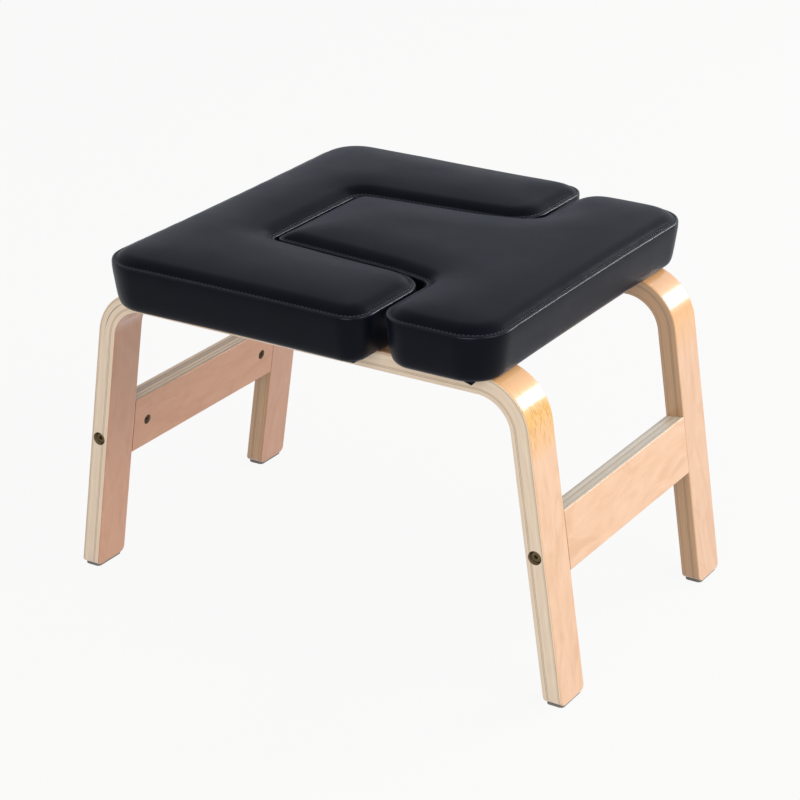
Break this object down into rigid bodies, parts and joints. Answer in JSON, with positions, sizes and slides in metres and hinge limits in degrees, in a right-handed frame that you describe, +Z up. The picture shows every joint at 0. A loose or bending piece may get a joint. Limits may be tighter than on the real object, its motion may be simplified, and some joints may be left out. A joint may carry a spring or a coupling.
{
  "type": "yoga headstand stool",
  "caption": "Low padded stool with a head slot for shoulder-supported headstands, on two bentwood frames joined by side rails.",
  "frame": {"origin": "on the floor, under the middle of the four legs", "axes": "+X along the two frames, from the closed end of the head slot towards the head of the T pad; +Y from the front frame to the back frame; +Z up"},
  "size_m": [0.5702, 0.438, 0.3823],
  "materials": {
    "birch_plywood": "bent birch plywood under clear gloss lacquer",
    "board_plywood": "plain plywood",
    "beech": "plain beech",
    "black_leather": "fine-grained satin synthetic leather over foam",
    "black_cloth": "thin non-woven cloth",
    "grey_felt": "dense felt",
    "zinc_steel": "zinc-plated",
    "black_steel": "black oxide"
  },
  "bodies": {
    "stool": {"front_bentwood_frame": "birch_plywood", "back_bentwood_frame": "birch_plywood", "left_side_rail": "birch_plywood", "right_side_rail": "birch_plywood", "front_left_frame_bolt": "black_steel", "front_right_frame_bolt": "black_steel", "back_left_frame_bolt": "black_steel", "back_right_frame_bolt": "black_steel", "front_left_barrel_nut": "zinc_steel", "front_right_barrel_nut": "zinc_steel", "back_left_barrel_nut": "zinc_steel", "back_right_barrel_nut": "zinc_steel", "front_left_lower_dowel": "beech", "front_left_upper_dowel": "beech", "front_right_lower_dowel": "beech", "front_right_upper_dowel": "beech", "back_left_lower_dowel": "beech", "back_left_upper_dowel": "beech", "back_right_lower_dowel": "beech", "back_right_upper_dowel": "beech", "front_left_foot_pad": "grey_felt", "front_right_foot_pad": "grey_felt", "back_left_foot_pad": "grey_felt", "back_right_foot_pad": "grey_felt", "u_pad_cushion": "black_leather", "u_pad_board": "board_plywood", "u_pad_under_cloth": "black_cloth", "front_left_pad_washer": "zinc_steel", "front_right_pad_washer": "zinc_steel", "back_left_pad_washer": "zinc_steel", "back_right_pad_washer": "zinc_steel", "front_left_pad_bolt": "black_steel", "front_right_pad_bolt": "black_steel", "back_left_pad_bolt": "black_steel", "back_right_pad_bolt": "black_steel", "front_left_t_nut": "zinc_steel", "front_right_t_nut": "zinc_steel", "back_left_t_nut": "zinc_steel", "back_right_t_nut": "zinc_steel", "stem_support_ledge": "beech", "front_ledge_screw": "zinc_steel", "back_ledge_screw": "zinc_steel"},
    "t_pad": {"t_pad_cushion": "black_leather", "t_pad_board": "board_plywood", "t_pad_under_cloth": "black_cloth", "front_cleat": "beech", "back_cleat": "beech", "front_left_cleat_screw": "zinc_steel", "front_right_cleat_screw": "zinc_steel", "back_left_cleat_screw": "zinc_steel", "back_right_cleat_screw": "zinc_steel"}
  },
  "joints": [
    {"name": "t_pad_lift", "type": "slide", "parent": "stool", "child": "t_pad", "axis": [0, 0, 1], "range_m": [0, 0.12]}
  ]
}
